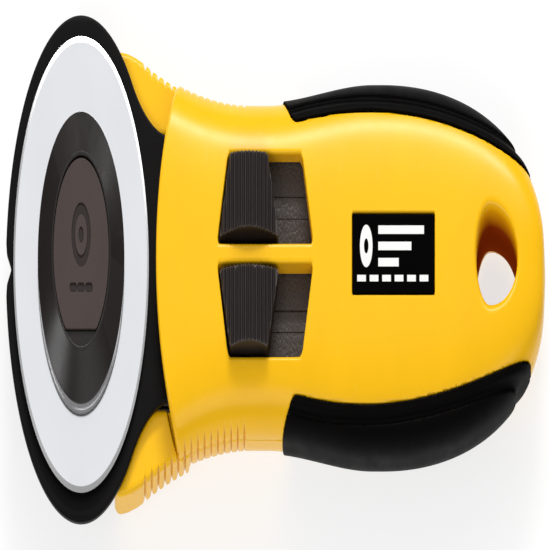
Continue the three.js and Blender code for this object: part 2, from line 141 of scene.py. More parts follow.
def crisp(shape, angle=35):
    """Keeps flat faces flat and edges sharp on a piece made of few faces."""
    shape.data.set_sharp_from_angle(angle=math.radians(angle))
    weighted = shape.modifiers.new("weighted_normals", "WEIGHTED_NORMAL")
    weighted.keep_sharp = True


def netted(node, skin, material):
    """A piece from net()'s points, faces and normals."""
    points, faces, normals = skin
    return piece(node + "_fine", points, faces, material, node, normals)


def sharp_edged(node, mesh, material, angle=35):
    """A crisp piece from a mesh's points and faces."""
    shape = piece(node + "_fine", *mesh, material, node)
    crisp(shape, angle)
    return shape


def two_tone(shape, material, chosen):
    """Gives a piece a second material on the faces whose middles chosen(x, y, z) picks."""
    faces = shape.data.polygons
    middles = np.empty(len(faces) * 3, np.float32)
    faces.foreach_get("center", middles)
    x, y, z = middles.reshape(-1, 3).astype(float).T / MM
    shape.data.materials.append(material)
    faces.foreach_set("material_index", np.asarray(chosen(x - AXLE_X / MM, y, z), np.int32))


def softened(profile, steps=4):
    """A closed line of (a, b, radius) corners as points, each corner turned into an arc."""
    count = len(profile)
    points = []
    for i, (a, b, radius) in enumerate(profile):
        here = np.array([a, b], float)
        before = np.array(profile[i - 1][:2], float) - here
        after = np.array(profile[(i + 1) % count][:2], float) - here
        long_a, long_b = np.linalg.norm(before), np.linalg.norm(after)
        if radius <= 0 or long_a == 0 or long_b == 0:
            points.append(here)
            continue
        before, after = before / long_a, after / long_b
        half = math.acos(float(np.clip(before @ after, -1, 1))) / 2
        reach = min(radius / math.tan(half), long_a * 0.49, long_b * 0.49)
        start, end = here + before * reach, here + after * reach
        for k in range(steps + 1):
            t = k / steps
            points.append((1 - t) ** 2 * start + 2 * t * (1 - t) * here + t * t * end)
    return np.array(points)


def turned(profile, segments=96):
    """A closed profile of (radius, height, corner radius) turned about the blade's axis."""
    line = softened(profile)
    count = len(line)
    angles = np.arange(segments) * (2 * math.pi / segments)
    points = np.array([[r * math.cos(a), r * math.sin(a), z] for a in angles for r, z in line])
    faces = []
    for k in range(segments):
        here, there = k * count, ((k + 1) % segments) * count
        for i in range(count):
            j = (i + 1) % count
            faces.append((here + i, there + i, there + j, here + j))
    return merged(points, faces)


def merged(points, faces):
    """The same mesh with points that coincide made one and flat-out empty faces left out."""
    keys = np.round(points, 5)
    _, first, number = np.unique(keys, axis=0, return_index=True, return_inverse=True)
    number = number.reshape(-1)
    kept = []
    for face in faces:
        ring = []
        for p in face:
            n = int(number[p])
            if not ring or ring[-1] != n:
                ring.append(n)
        if len(ring) > 1 and ring[0] == ring[-1]:
            ring.pop()
        if len(set(ring)) > 2:
            kept.append(ring)
    return points[first], kept


def lengths(rows):
    """Each row's length, never quite zero."""
    return np.maximum(np.linalg.norm(rows, axis=1, keepdims=True), 1e-9)


def inset(outline, distance):
    """A closed outline moved inwards by a distance; anticlockwise outlines shrink."""
    line = np.asarray(outline, float)
    back, ahead = np.roll(line, 1, 0), np.roll(line, -1, 0)
    one, two = line - back, ahead - line
    one, two = one / lengths(one), two / lengths(two)
    left_one = np.stack([-one[:, 1], one[:, 0]], 1)
    left_two = np.stack([-two[:, 1], two[:, 0]], 1)
    middle = left_one + left_two
    middle /= lengths(middle)
    stretch = np.maximum((middle * left_one).sum(1, keepdims=True), 0.5)
    return line + middle * distance / stretch


def plate(outline, z, edge, holes=(), steps=3):
    """A flat plate with rounded edges. The outline runs anticlockwise and holes clockwise."""
    low, high = z
    levels = [(edge * (1 - math.sin(t)), low + edge * (1 - math.cos(t)))
              for t in np.linspace(0, math.pi / 2, steps + 1)]
    levels += [(shrink, low + high - at) for shrink, at in reversed(levels)]
    points, faces, caps = [], [], ([], [])
    for loop in (outline, *holes):
        count = len(loop)
        base = len(points)
        for shrink, at in levels:
            points += [(px, py, at) for px, py in inset(loop, shrink)]
        for k in range(len(levels) - 1):
            for i in range(count):
                j = (i + 1) % count
                here, there = base + k * count, base + (k + 1) * count
                faces.append((here + i, here + j, there + j, there + i))
        last = base + (len(levels) - 1) * count
        caps[0].append([base + i for i in range(count)])
        caps[1].append([last + i for i in range(count)])
    for number, loops in enumerate(caps):
        order = [n for loop in loops for n in loop]
        flat = tessellate_polygon([[Vector(points[n]) for n in loop] for loop in loops])
        for triangle in flat:
            ring = [order[i] for i in triangle]
            a, b, c = (np.array(points[n][:2]) for n in ring)
            turn = (b[0] - a[0]) * (c[1] - a[1]) - (b[1] - a[1]) * (c[0] - a[0])
            if abs(turn) < 1e-12:
                continue
            faces.append(ring if (turn > 0) == (number == 1) else ring[::-1])
    return np.array(points), faces


def circle(cx, cy, r, steps=40, turn=1):
    """Points round a circle, anticlockwise, or clockwise where turn is -1."""
    return [(cx + r * math.cos(turn * a), cy + r * math.sin(turn * a))
            for a in np.arange(steps) * (2 * math.pi / steps)]


def curve_through(points, steps):
    """A smooth open line through the points, with a number of steps between each two."""
    p = np.array([points[0], *points, points[-1]], float)
    line = []
    for k in range(1, len(p) - 2):
        a, b, c, d = p[k - 1:k + 3]
        for t in np.arange(steps) / steps:
            line.append(0.5 * (2 * b + (c - a) * t + (2 * a - 5 * b + 4 * c - d) * t * t
                               + (3 * b - a - 3 * c + d) * t ** 3))
    line.append(p[-1])
    return np.array(line)


def wire(line, z, r):
    """Round wire along a flat line at one height, with rounded ends."""
    sides = 12
    along = np.gradient(line, axis=0)
    along /= lengths(along)
    dome = [(s, r * math.sqrt(1 - s * s)) for s in (0.98, 0.8, 0.45)]
    rings = [(line[0] - along[0] * r * s, along[0], thin) for s, thin in dome]
    rings += [(here, way, r) for here, way in zip(line, along)]
    rings += [(line[-1] + along[-1] * r * s, along[-1], thin) for s, thin in reversed(dome)]
    points = []
    for here, way, radius in rings:
        for a in np.arange(sides) * (2 * math.pi / sides):
            out = radius * math.cos(a)
            points.append((here[0] + way[1] * out, here[1] - way[0] * out, z + radius * math.sin(a)))
    faces = []
    for k in range(len(rings) - 1):
        here, there = k * sides, (k + 1) * sides
        for i in range(sides):
            j = (i + 1) % sides
            faces.append((there + i, there + j, here + j, here + i))
    last = (len(rings) - 1) * sides
    faces += [list(range(sides)), list(range(last, last + sides))[::-1]]
    return np.array(points), faces


def rectangle(xs, ys):
    """The corners of an upright rectangle in plan, anticlockwise."""
    return [(xs[0], ys[0]), (xs[1], ys[0]), (xs[1], ys[1]), (xs[0], ys[1])]


# ---- solids as distances
def both(a, b, r):
    """What two solids share, with the edge between them rounded to radius r."""
    return np.minimum(-r, np.maximum(a, b)) + np.hypot(np.maximum(a + r, 0), np.maximum(b + r, 0))


def either(a, b, r):
    """Two solids joined, with a fillet of radius r between them."""
    return -both(-a, -b, r)


def without(a, b, r):
    """The first solid less the second, with a rounded edge."""
    return both(a, -b, r)


def block(x, y, z, xs, ys, zs, r):
    """Distance to a box with rounded edges."""
    d = both(xs[0] - x, x - xs[1], r)
    d = both(d, both(ys[0] - y, y - ys[1], r), r)
    return both(d, both(zs[0] - z, z - zs[1], r), r)


def slab(z, low, high):
    """Distance to what lies between two flat faces."""
    return np.maximum(low - z, z - high)


def net(field, xs, ys, zs):
    """Quads over the zero surface of field(x, y, z), drawn onto it exactly, and their normals."""
    axes = [np.asarray(a, np.float32) for a in (xs, ys, zs)]
    value = field(axes[0][:, None, None], axes[1][None, :, None], axes[2][None, None, :])
    value = np.broadcast_to(value, [len(a) for a in axes]).astype(np.float32)
    inside = value < 0
    shape = np.array(value.shape) - 1
    filled = np.zeros(shape, np.int8)
    for i, j, k in np.ndindex(2, 2, 2):
        filled += inside[i:shape[0] + i, j:shape[1] + j, k:shape[2] + k]
    cells = np.argwhere((filled > 0) & (filled < 8))
    number = np.full(shape, -1, np.int64)
    number[tuple(cells.T)] = np.arange(len(cells))
    total, crossings = np.zeros((len(cells), 3)), np.zeros(len(cells))
    for axis in range(3):
        for i, j in np.ndindex(2, 2):
            start = np.insert([i, j], axis, 0)
            a, b = cells + start, cells + np.insert([i, j], axis, 1)
            fa, fb = value[tuple(a.T)], value[tuple(b.T)]
            cut = (fa < 0) != (fb < 0)
            pa = np.stack([axes[n][a[:, n]] for n in range(3)], 1)[cut]
            pb = np.stack([axes[n][b[:, n]] for n in range(3)], 1)[cut]
            t = (fa[cut] / (fa[cut] - fb[cut]))[:, None]
            total[cut] += pa + t * (pb - pa)
            crossings[cut] += 1
    points = total / crossings[:, None]
    quads = []
    for axis in range(3):
        u, v = (axis + 1) % 3, (axis + 2) % 3
        low = [slice(None)] * 3
        low[axis] = slice(0, -1)
        high = [slice(None)] * 3
        high[axis] = slice(1, None)
        edges = np.argwhere(inside[tuple(low)] != inside[tuple(high)])
        edges = edges[(edges[:, u] > 0) & (edges[:, v] > 0)
                      & (edges[:, u] < shape[u]) & (edges[:, v] < shape[v])]
        ring = []
        for du, dv in ((-1, -1), (0, -1), (0, 0), (-1, 0)):
            cell = edges.copy()
            cell[:, u] += du
            cell[:, v] += dv
            ring.append(number[tuple(cell.T)])
        ring = np.stack(ring, 1)
        outward = inside[tuple(edges.T)]
        quads += [ring[outward], ring[~outward][:, ::-1]]
    quads = np.concatenate(quads)
    # four short steps down the slope settle the points on the surface
    reach = 0.5 * min(float(np.diff(a).max()) for a in axes)
    for _ in range(4):
        level, slope = slopes(field, points)
        step = slope * (level / np.maximum((slope ** 2).sum(1), 1e-6))[:, None]
        points = points - step * np.minimum(1, reach / lengths(step))
    normals = slopes(field, points)[1]
    return points, quads, normals / lengths(normals)


def slopes(field, points, small=0.01):
    """A field's value and gradient at each point."""
    x, y, z = points.T
    level = field(x, y, z)
    slope = np.stack([
        field(x + small, y, z) - field(x - small, y, z),
        field(x, y + small, z) - field(x, y - small, z),
        field(x, y, z + small) - field(x, y, z - small),
    ], 1) / (2 * small)
    return level, slope


def ticks(*stops):
    """Grid lines from stop to stop, given as value, step, value, step, ... value."""
    lines = [np.array([stops[0]], float)]
    for k in range(0, len(stops) - 2, 2):
        start, step, end = stops[k:k + 3]
        count = max(1, round((end - start) / step))
        lines.append(np.linspace(start, end, count + 1)[1:])
    return np.concatenate(lines)


# ---- the handle's form
def smooth(t):
    """Eases from 0 to 1 as t goes from 0 to 1."""
    t = np.clip(t, 0, 1)
    return t * t * (3 - 2 * t)


def tail(x, a, b):
    """How much of its size the handle keeps as it closes towards the tail, from 1 to 0."""
    t = np.clip((x - TAIL_START_X) / (TAIL_X - TAIL_START_X), 0, 0.99999)
    return (1 - t ** a) ** (1 / b)


def half_width(x):
    flare = FLARE * (np.clip(WAIST_X - x, 0, None) / FLARE_LENGTH) ** 2
    belly = (BELLY_HALF - WAIST_HALF) * smooth((x - RISE_X) / (BELLY_X - RISE_X))
    return (WAIST_HALF + flare + belly) * tail(x, *PLAN_TAIL_POWERS)


def nose_fall(x):
    """How far the handle has thinned towards the nose, from 0 at the shoulder to 1."""
    return (np.clip(SHOULDER_X - x, 0, None) / (SHOULDER_X - NOSE_X)) ** 2


def half_height(x, upper):
    fall = nose_fall(x)
    full = np.where(upper, HALF_TOP - NOSE_DROP * fall, HALF_BOTTOM - CHIN_RISE * fall)
    return full * tail(x, *SIDE_TAIL_POWERS)


def handle(x, y, z, grow=0.0):
    """Distance to the handle's rounded body, grown by `grow` on every side."""
    n, small, least = SECTION_POWER, 0.05, 0.05
    tail_cut, tail_edge = 0.1, 1.0
    upper = z > MID_Z
    w = np.maximum(half_width(x) + grow, least)
    h = np.maximum(half_height(x, upper) + grow, least)
    w_slope = (half_width(x + small) - half_width(x - small)) / (2 * small)
    h_slope = (half_height(x + small, upper) - half_height(x - small, upper)) / (2 * small)
    u, v = np.abs(y) / w, np.abs(z - MID_Z) / h
    g = np.maximum((u ** n + v ** n) ** (1 / n), 1e-4)
    gu, gv = (u / g) ** (n - 1), (v / g) ** (n - 1)
    along = gu * u * w_slope / w + gv * v * h_slope / h
    steep = np.sqrt((gu / w) ** 2 + (gv / h) ** 2 + along ** 2) + 1e-4
    return both((g - 1) / steep, x - TAIL_X - grow + tail_cut, tail_edge)


def slope_side(a, b, x, y):
    """Distance outside the line from a to b in plan, positive on its right."""
    dx, dy = b[0] - a[0], b[1] - a[1]
    return ((x - a[0]) * dy - (y - a[1]) * dx) / math.hypot(dx, dy)


def trapezoid(x, y, inner, outer, inner_x, outer_x, r):
    """Plan distance to a four-sided outline on either side of the centre line."""
    y = np.abs(y)
    d = both(inner - y, y - outer, r)
    d = both(d, slope_side((inner_x[1], inner), (outer_x[1], outer), x, y), r)
    return both(d, -slope_side((inner_x[0], inner), (outer_x[0], outer), x, y), r)


def window(x, y):
    """Plan distance to the two windows that the buttons travel in."""
    return trapezoid(x, y, *WINDOW_Y, WINDOW_INNER_X, WINDOW_OUTER_X, 0.8)


def hang_hole(x, y):
    """Plan distance to the egg-shaped hole, pointed towards the tail."""
    middle, blunt, point, half = 136.0, 4.55, 9.0, 4.7
    a = np.where(x < middle, blunt, point)
    u, v = (x - middle) / a, y / half
    g = np.sqrt(u * u + v * v) + 1e-4
    return (g - 1) * g / np.sqrt((u / a) ** 2 + (v / half) ** 2 + 1e-6)


def behind_nose(x, y, out=0.0):
    """Plan distance to what lies behind the top shell's bowed front edge."""
    centre = NOSE_X + NOSE_R
    return np.where(x < centre, np.hypot(x - centre, y) - NOSE_R - out, np.abs(y) - NOSE_R - out)


def grip_line(x):
    """How far from the centre line the side inlays' bowed inner edge lies."""
    middle, out, bow = 95.0, 14.4, 0.0018
    return out - bow * (x - middle) ** 2


def grip_zone(x, y):
    """Plan distance to the side inlays' zone, with its slanted front end."""
    front_x, front_y, slant, steepness = 66.0, 17.3, 1.1, 0.67
    y = np.abs(y)
    front = (front_x + (front_y - y) * slant - x) * steepness
    return both(grip_line(x) - y, front, 1.2)


def grooves(x, y):
    """Plan distance to the V-shaped finger grooves down both side walls."""
    first, pitch, count = 21.3, 2.2, 16
    half, sunk, steepness = 0.5, 0.75, 0.78
    k = np.clip(np.round((x - first) / pitch), 0, count - 1)
    depth = half_width(x) - np.abs(y)
    return (np.abs(x - first - k * pitch) - half * (1 - depth / sunk)) * steepness


# ---- materials
def add(tree, kind, inputs=None, **settings):
    """A shader node with its settings and inputs; an input is a value or another node's output."""
    made = tree.nodes.new(kind)
    for key, value in settings.items():
        setattr(made, key, value)
    for key, value in (inputs or {}).items():
        if isinstance(value, bpy.types.NodeSocket):
            tree.links.new(value, made.inputs[key])
        else:
            made.inputs[key].default_value = value
    return made


def noise(tree, place, feature_mm, detail=3.0, rough=0.5):
    """A noise texture whose features are about feature_mm across."""
    inputs = {"Vector": place, "Scale": 1 / (feature_mm * MM), "Detail": detail, "Roughness": rough}
    return add(tree, "ShaderNodeTexNoise", inputs).outputs["Fac"]


def spread(tree, value, low, high, from_low=0.3, from_high=0.7):
    """A 0 to 1 pattern turned into another range."""
    inputs = {"Value": value, "From Min": from_low, "From Max": from_high, "To Min": low, "To Max": high}
    return add(tree, "ShaderNodeMapRange", inputs).outputs["Result"]


VECTOR_MATHS = "ShaderNodeVectorMath"


def maths(tree, operation, *values, kind="ShaderNodeMath", output=0):
    """The result of a maths node, or of a vector maths node."""
    return add(tree, kind, dict(enumerate(values)), operation=operation).outputs[output]


def mixed_colour(tree, factor, one, two):
    """A colour, or a node's colour output, turning into another colour by a factor."""
    if not isinstance(one, bpy.types.NodeSocket):
        one = (*one, 1)
    return add(tree, "ShaderNodeMix", {0: factor, 6: one, 7: (*two, 1)}, data_type="RGBA").outputs[2]


def opened(material):
    """A material's node tree, its shader, and the place on the object."""
    tree = material.node_tree
    return tree, tree.nodes["Principled BSDF"], add(tree, "ShaderNodeTexCoord").outputs["Object"]


def bumped(tree, shader, height, depth_mm):
    """Raises the surface by a 0 to 1 pattern, on top of any bumps that it has."""
    normal = shader.inputs["Normal"]
    inputs = {"Height": height, "Distance": depth_mm * MM}
    if normal.is_linked:
        inputs["Normal"] = normal.links[0].from_socket
    tree.links.new(add(tree, "ShaderNodeBump", inputs).outputs["Normal"], normal)


def recoloured(tree, shader, factor, colour):
    """Turns a material's colour into another one by a factor."""
    base = shader.inputs["Base Color"]
    tree.links.new(mixed_colour(tree, factor, base.links[0].from_socket, colour), base)


def surface(name, colour, roughness, vary=0.04, grain=(0.25, 0.012), metallic=0.0, specular=0.5,
            painted_edge_highlight=0.0, edge_highlight_colour=None, painted_crevice_shade=None):
    """A moulded or machined surface: slow colour drift, uneven gloss, fine grain, lighter edges as a
    painted highlight.

    grain is the size and the depth of the finest bumps in millimetres. Outer edges turn towards
    edge_highlight_colour by up to worn, which is a painted highlight, and inner corners turn towards
    crevice, which is painted shade.
    """
    material = bpy.data.materials.new(name)
    material.use_nodes = True
    tree, shader, place = opened(material)
    drift = spread(tree, noise(tree, place, 12.0), 0, 1)
    light = tuple(min(1.0, c * (1 + vary)) for c in colour)
    dark = tuple(c * (1 - vary) for c in colour)
    tree.links.new(mixed_colour(tree, drift, dark, light), shader.inputs["Base Color"])
    edge = add(tree, "ShaderNodeNewGeometry").outputs["Pointiness"]
    # painted highlight: convex edges, found by pointiness, turn lighter as if they caught the light
    if painted_edge_highlight:
        lighter = edge_highlight_colour or tuple(min(1.0, c * 1.6 + 0.02) for c in colour)
        recoloured(tree, shader, spread(tree, edge, 0, painted_edge_highlight, 0.52, 0.6), lighter)
    # painted shade: concave corners and creases turn towards a deeper colour
    if painted_crevice_shade:
        recoloured(tree, shader, spread(tree, edge, 1, 0, 0.4, 0.49), painted_crevice_shade)
    uneven = noise(tree, place, 4.0)
    tree.links.new(spread(tree, uneven, roughness * 0.92, roughness * 1.1), shader.inputs["Roughness"])
    bumped(tree, shader, noise(tree, place, grain[0], detail=2.0), grain[1])
    shader.inputs["Metallic"].default_value = metallic
    shader.inputs["Specular IOR Level"].default_value = specular
    return material


def leather_grain(material):
    """Adds the wrinkled, leather-like mould texture of the slider bed."""
    cell_mm, warp_mm, depth_mm, turn = 0.8, 2.2, 0.05, 0.7
    tree, shader, place = opened(material)
    warp = add(tree, "ShaderNodeTexNoise", {"Vector": place, "Scale": 1 / (warp_mm * MM)})
    bent = add(tree, "ShaderNodeMapping", {"Vector": place, "Rotation": (0, 0, turn)}).outputs["Vector"]
    shift = maths(tree, "MULTIPLY", warp.outputs["Color"], (MM, MM, MM), kind=VECTOR_MATHS)
    moved = maths(tree, "ADD", bent, shift, kind=VECTOR_MATHS)
    cells = add(tree, "ShaderNodeTexVoronoi", {"Vector": moved, "Scale": 1 / (cell_mm * MM)},
                feature="DISTANCE_TO_EDGE")
    bumped(tree, shader, spread(tree, cells.outputs["Distance"], 0, 1, 0.0, 0.25), depth_mm)
    return material


def painted_crest_highlights(material, colour):
    """Paints a highlight along the up-facing crests of the buttons' ridges."""
    tree, shader, place = opened(material)
    along = add(tree, "ShaderNodeSeparateXYZ", {0: place}).outputs["X"]
    start, pitch = AXLE_X + RIDGE_START * MM, RIDGE_PITCH * MM
    count = maths(tree, "MULTIPLY_ADD", along, 1 / pitch, -start / pitch)
    from_crest = maths(tree, "PINGPONG", count, 0.5)
    normal = add(tree, "ShaderNodeNewGeometry").outputs["Normal"]
    facing_up = add(tree, "ShaderNodeSeparateXYZ", {0: normal}).outputs["Z"]
    # painted highlight: the ridge crests turn lighter, only where they face up
    crest = maths(tree, "MULTIPLY", spread(tree, from_crest, 1, 0, 0.03, 0.14),
                  spread(tree, facing_up, 0, 1, 0.1, 0.4))
    recoloured(tree, shader, crest, colour)
    return material


def painted_shade_by_height(material, colour, middle_mm, reach_mm):
    """Paints shade into a material: turns its colour into a deeper one around one height."""
    tree, shader, place = opened(material)
    height = add(tree, "ShaderNodeSeparateXYZ", {0: place}).outputs["Z"]
    away = maths(tree, "ABSOLUTE", maths(tree, "ADD", height, -middle_mm * MM))
    recoloured(tree, shader, spread(tree, away, 1, 0, 0.45 * reach_mm * MM, reach_mm * MM), colour)
    return material


def turned_lines(material, pitch_mm, depth_mm, roughness=None):
    """Adds fine rings about the blade's axis, as grinding or turning leaves them."""
    tree, shader, place = opened(material)
    centred = maths(tree, "ADD", place, (-AXLE_X, 0, 0), kind=VECTOR_MATHS)
    flat = maths(tree, "MULTIPLY", centred, (1, 1, 0), kind=VECTOR_MATHS)
    radius = maths(tree, "LENGTH", flat, kind=VECTOR_MATHS, output="Value")
    line = add(tree, "ShaderNodeCombineXYZ", {"X": radius}).outputs[0]
    rings = noise(tree, line, pitch_mm, detail=4.0, rough=0.7)
    bumped(tree, shader, rings, depth_mm)
    if roughness:
        tree.links.new(spread(tree, rings, *roughness), shader.inputs["Roughness"])
    return material


YELLOW_TONE = (0.94, 0.51, 0.005)
# yellow_plastic: its lighter edges are a painted highlight, and the deep orange in its corners and
# grooves is painted shade
YELLOW = surface("yellow_plastic", YELLOW_TONE, 0.25, vary=0.02, grain=(0.3, 0.002),
                 specular=0.24, painted_edge_highlight=0.12, painted_crevice_shade=(0.6, 0.2, 0.001))
# painted shade: the hang hole's wall turns dark red-brown in its lower part, fading out towards the top
# rim
HOLE_PAINTED_SHADE = painted_shade_by_height(
    surface("hole_painted_shade_plastic", YELLOW_TONE, 0.6, vary=0.02, grain=(0.3, 0.01), specular=0.0),
    (0.3, 0.045, 0.004), middle_mm=5.0, reach_mm=10.6)
# black_plastic: its lighter edges are a painted highlight
BLACK = surface("black_plastic", (0.004, 0.0034, 0.0033), 0.42, vary=0.15, specular=0.08, painted_edge_highlight=0.1)
COVER_BLACK = surface("cover_plastic", (0.006, 0.0052, 0.005), 0.5, vary=0.12, grain=(0.4, 0.03),
                      specular=0.12)
# button_plastic: its lighter edges and lighter ridge crests are painted highlights
BUTTON = painted_crest_highlights(
    surface("button_plastic", (0.015, 0.0112, 0.0105), 0.4, vary=0.1, specular=0.25, painted_edge_highlight=1.0,
            edge_highlight_colour=(0.14, 0.12, 0.115)),
    (0.085, 0.072, 0.07))
RUBBER = surface("grip_rubber", (0.0014, 0.001, 0.0009), 0.5, vary=0.15, grain=(0.18, 0.02),
                 specular=0.035)
BED = leather_grain(surface("bed_plastic", (0.045, 0.036, 0.033), 0.5, vary=0.12, specular=0.3))
# hub_plastic: its lighter edges are a painted highlight
CAP = surface("hub_plastic", (0.0085, 0.0058, 0.0048), 0.26, vary=0.12, grain=(0.2, 0.003), specular=0.36,
              painted_edge_highlight=0.2)
BADGE = surface("badge_plastic", (0.056, 0.04, 0.036), 0.5, vary=0.06, grain=(0.2, 0.02), specular=0.2)
MARK = surface("mark_plastic", (0.026, 0.019, 0.0175), 0.5, vary=0.1, grain=(0.2, 0.01), specular=0.15)
LABEL = surface("label_film", (0.001, 0.0008, 0.0008), 0.4, vary=0.1, grain=(0.3, 0.004), specular=0.015)
PRINT = surface("label_print", (0.85, 0.85, 0.83), 0.45, vary=0.02, grain=(0.3, 0.004))
BLADE = turned_lines(
    surface("blade_steel", (0.84, 0.85, 0.88), 0.12, vary=0.02, grain=(0.2, 0.0008), metallic=1.0),
    pitch_mm=0.3, depth_mm=0.0006, roughness=(0.1, 0.16))
EDGE_STEEL = turned_lines(
    surface("ground_edge", (0.93, 0.93, 0.94), 0.22, vary=0.02, grain=(0.1, 0.003), metallic=1.0),
    pitch_mm=0.08, depth_mm=0.006, roughness=(0.16, 0.28))
CHROME = turned_lines(
    surface("polished_steel", (0.75, 0.73, 0.72), 0.14, vary=0.02, grain=(0.3, 0.001), metallic=1.0),
    pitch_mm=0.15, depth_mm=0.0015)
STEEL = surface("machined_steel", (0.6, 0.6, 0.62), 0.3, vary=0.05, grain=(0.15, 0.005), metallic=1.0)
SPRING = surface("spring_steel", (0.45, 0.45, 0.47), 0.33, vary=0.06, grain=(0.12, 0.004), metallic=1.0)
NYLON = surface("nylon", (0.8, 0.78, 0.72), 0.5, vary=0.03, grain=(0.3, 0.01))


# ---- handle
def inlay_cut(x, y, z):
    """The pockets in both shells that the grips lie in."""
    return both(grip_zone(x, y), -handle(x, y, z, -1.2), 0.05)


def shell_body(x, y, z):
    """Distance to the handle's form, and to the same made hollow, with the hang hole through it."""
    outside = handle(x, y, z)
    hollow = both(outside + WALL, x - CAVITY_END_X, 0.5)
    return outside, without(without(outside, hollow, 0.2), hang_hole(x, y), 1.1)


def top_shell_field(x, y, z):
    """The upper shell: windows with a rim down to the bed, a recess for the label, finger grooves."""
    outside, d = shell_body(x, y, z)
    rim = trapezoid(x, y, ACROSS_MIDDLE, 11.2, (43.9, 78.6), (45.5, 76.8), 0.5)
    rim = both(rim, BED_Z[1] + 0.05 - z, 0.1)
    d = either(d, both(rim, outside + 0.5, 0.1), 0.4)
    d = both(d, SEAM_Z + 0.02 - z, 0.04)
    d = both(d, behind_nose(x, y), 0.7)
    d = without(d, grooves(x, y), 0.25)
    d = without(d, window(x, y), 0.35)
    d = without(d, inlay_cut(x, y, z), 0.12)
    play = 0.15
    recess = np.maximum(np.abs(x - sum(LABEL_X) / 2) - (LABEL_X[1] - LABEL_X[0]) / 2 - play,
                        np.abs(y) - LABEL_Y[1] - play)
    return without(d, np.maximum(recess, LABEL_Z[0] - 0.03 - z), 0.12)


def wing_field(x, y, z):
    """The two forward wings that hug the guard disc."""
    front, back, inner_half, hug_x = 10.2, 36.0, 13.35, 1.5
    taper_x, taper = 21, 0.016
    y = np.abs(y)
    outer = y - half_width(x) + taper * np.clip(taper_x - x, 0, None) ** 2
    inner = both(WING_HUG_R - np.hypot(x - hug_x, y), inner_half - y, 5.0)
    plan = both(np.maximum(inner, x - back), outer, 0.5)
    plan = both(plan, front - x, 3.0)
    height = slab(z, WING_BOTTOM, WING_TOP)
    above_seam = np.maximum(SEAM_Z - SEAM_GAP / 2 - z, behind_nose(x, y, 0.3))
    return without(both(plan, height, 0.7), above_seam, 0.1)


def bottom_shell_field(x, y, z):
    """The lower shell with its wings, and a bored post for each screw."""
    front, shell_post_top = 33.0, 9.5
    post_r, bore_r, sink_r, sink_top, inner_floor = 3.2, 1.6, 3.0, 2.4, 0.8
    d = shell_body(x, y, z)[1]
    d = both(d, z - SEAM_Z + 0.02, 0.04)
    d = both(d, front - x, 0.6)
    d = either(d, wing_field(x, y, z), 0.5)
    posts = [(ARM_SCREW_X, ARM_SCREW_Y, ARM_Z[0] - 0.05)]
    posts += [(at, 0.0, shell_post_top) for at in SHELL_SCREW_X]
    for sx, sy, top in posts:
        radius = np.hypot(x - sx, np.abs(y) - sy)
        d = either(d, np.maximum(radius - post_r, slab(z, inner_floor, top)), 0.5)
        d = without(d, radius - bore_r, 0.15)
        d = without(d, np.maximum(radius - sink_r, z - sink_top), 0.2)
    d = both(d, -z, 0.3)
    d = without(d, grooves(x, y), 0.25)
    return without(d, inlay_cut(x, y, z), 0.12)


def grip_field(side):
    """One side inlay: a raised lip along its inner edge, a crease, then the soft side wall."""
    proud, thick, lip, crease_r, foot = 0.3, 1.1, 1.45, 0.4, 0.4

    def field(x, y, z):
        outside = handle(x, y, z, proud)
        crease = np.hypot(np.abs(y) - grip_line(x) - lip, outside) - crease_r
        outside = without(outside, crease, 0.3)
        d = both(outside, -handle(x, y, z, -thick), 0.1)
        d = both(d, grip_zone(x, y) + 0.08, 0.25)
        d = both(d, foot - z, 0.4)
        return np.maximum(d, -side * y)
    return field


def in_hole_painted_shade(x, y, z):
    """Where a face belongs to the hang hole's wall, which is left matt from the mould and carries painted
    shade.
    """
    return (hang_hole(x, y) < 0.5) & (z > 1.5) & (z < 15.6)


def make_handle():
    ys = ticks(-25, 0.42, 25)
    skin = net(top_shell_field, ticks(24, 0.22, 56, 0.42, 155.2), ys, ticks(8, 0.4, 17.6))
    two_tone(netted("top_shell", skin, YELLOW), HOLE_PAINTED_SHADE, in_hole_painted_shade)
    skin = net(bottom_shell_field, ticks(9.5, 0.27, 56, 0.45, 155.2), ys, ticks(-0.6, 0.4, 11))
    two_tone(netted("bottom_shell", skin, YELLOW), HOLE_PAINTED_SHADE, in_hole_painted_shade)
    for side, node in ((1, "grip_left"), (-1, "grip_right")):
        near, far = sorted((8.0 * side, 20.0 * side))
        skin = net(grip_field(side), ticks(64, 0.4, 151), ticks(near, 0.24, far),
                   ticks(-0.2, 0.35, 13, 0.22, 17.6))
        netted(node, skin, RUBBER)


# ---- arm, cover, axle and screws
def arm_plan(x, y, r, half, back):
    """Plan distance to the arm: a disc round the axle that runs back into a straight bar."""
    bar = both(both(-4.0 - x, x - back, 0.6), np.abs(y) - half, 0.6)
    return either(np.hypot(x, y) - r, bar, 3.0)


def guard_outline():
    """Half of the guard disc's outline: the concave fillet from its neck, then round to the notch."""
    fillet, notch_angle = 20.0, 0.104
    join = math.asin((NECK_HALF + fillet) / (GUARD_R + fillet))
    cx, cy = (GUARD_R + fillet) * math.cos(join), NECK_HALF + fillet
    side = [(cx + fillet * math.cos(a), cy + fillet * math.sin(a))
            for a in np.linspace(1.5 * math.pi, math.pi + join, 14)]
    disc = [(GUARD_R * math.cos(a), GUARD_R * math.sin(a))
            for a in np.linspace(join, math.pi - notch_angle, 110)]
    return side + disc[1:]


def arm_field(x, y, z):
    """The blade arm, with a bore for the axle bush."""
    back, bore_r = 50.0, 4.7
    d = both(arm_plan(x, y, ARM_R, ARM_HALF, back), slab(z, *ARM_Z), 0.35)
    return without(d, np.hypot(x, y) - bore_r, 0.2)


